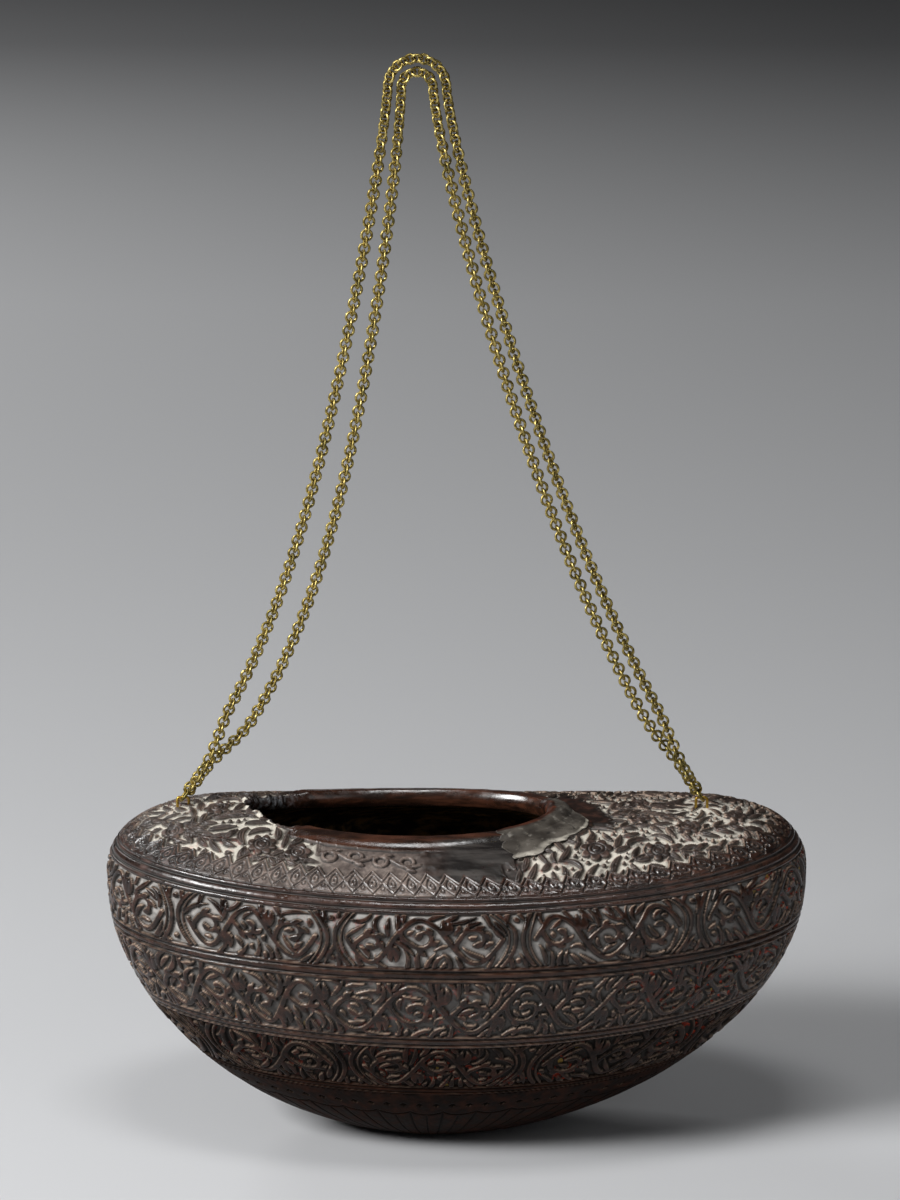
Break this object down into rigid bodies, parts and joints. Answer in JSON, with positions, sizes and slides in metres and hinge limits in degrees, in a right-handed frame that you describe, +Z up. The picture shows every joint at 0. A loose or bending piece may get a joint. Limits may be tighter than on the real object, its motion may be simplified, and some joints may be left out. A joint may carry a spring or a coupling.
{
  "type": "kashkul begging bowl",
  "caption": "Boat-shaped begging bowl cut from a carved nut shell, with an oval mouth, a small flat foot and a doubled brass link chain that swings on wire staples.",
  "frame": {"origin": "on the ground, under the middle of the bowl's length and depth", "axes": "+X along the bowl to its right end, +Y to the back, +Z up along the chain"},
  "size_m": [0.2984, 0.1444, 0.4654],
  "materials": {
    "nut_shell": "carved, satin",
    "mend": "smooth, satin",
    "chain_brass": "aged",
    "staple_brass": "bright",
    "rove_brass": "aged"
  },
  "bodies": {
    "bowl": {"bowl_shell": "nut_shell", "mended_lip": "mend", "left_staple": "staple_brass", "right_staple": "staple_brass", "left_rove": "rove_brass", "right_rove": "rove_brass"},
    "chain_low": {"outer_left_low": "chain_brass", "inner_left_low": "chain_brass", "outer_right_low": "chain_brass", "inner_right_low": "chain_brass", "left_ring": "chain_brass", "right_ring": "chain_brass"},
    "chain_mid": {"outer_left_mid": "chain_brass", "inner_left_mid": "chain_brass", "outer_right_mid": "chain_brass", "inner_right_mid": "chain_brass"},
    "chain_high": {"outer_left_high": "chain_brass", "inner_left_high": "chain_brass", "outer_right_high": "chain_brass", "inner_right_high": "chain_brass"},
    "chain_top": {"outer_left_top": "chain_brass", "inner_left_top": "chain_brass", "outer_right_top": "chain_brass", "inner_right_top": "chain_brass", "outer_bend": "chain_brass", "inner_bend": "chain_brass"}
  },
  "joints": [
    {"name": "chain_swing", "type": "hinge", "parent": "bowl", "child": "chain_low", "pos_m": [0, 0, 0.14949], "axis": [1, 0, 0], "range_deg": [-65, 65]},
    {"name": "low_fold", "type": "hinge", "parent": "chain_low", "child": "chain_mid", "pos_m": [0, 0, 0.22862], "axis": [1, 0, 0], "range_deg": [-30, 30]},
    {"name": "mid_fold", "type": "hinge", "parent": "chain_mid", "child": "chain_high", "pos_m": [0, 0, 0.30775], "axis": [1, 0, 0], "range_deg": [-30, 30]},
    {"name": "high_fold", "type": "hinge", "parent": "chain_high", "child": "chain_top", "pos_m": [0, 0, 0.38687], "axis": [1, 0, 0], "range_deg": [-30, 30]}
  ]
}
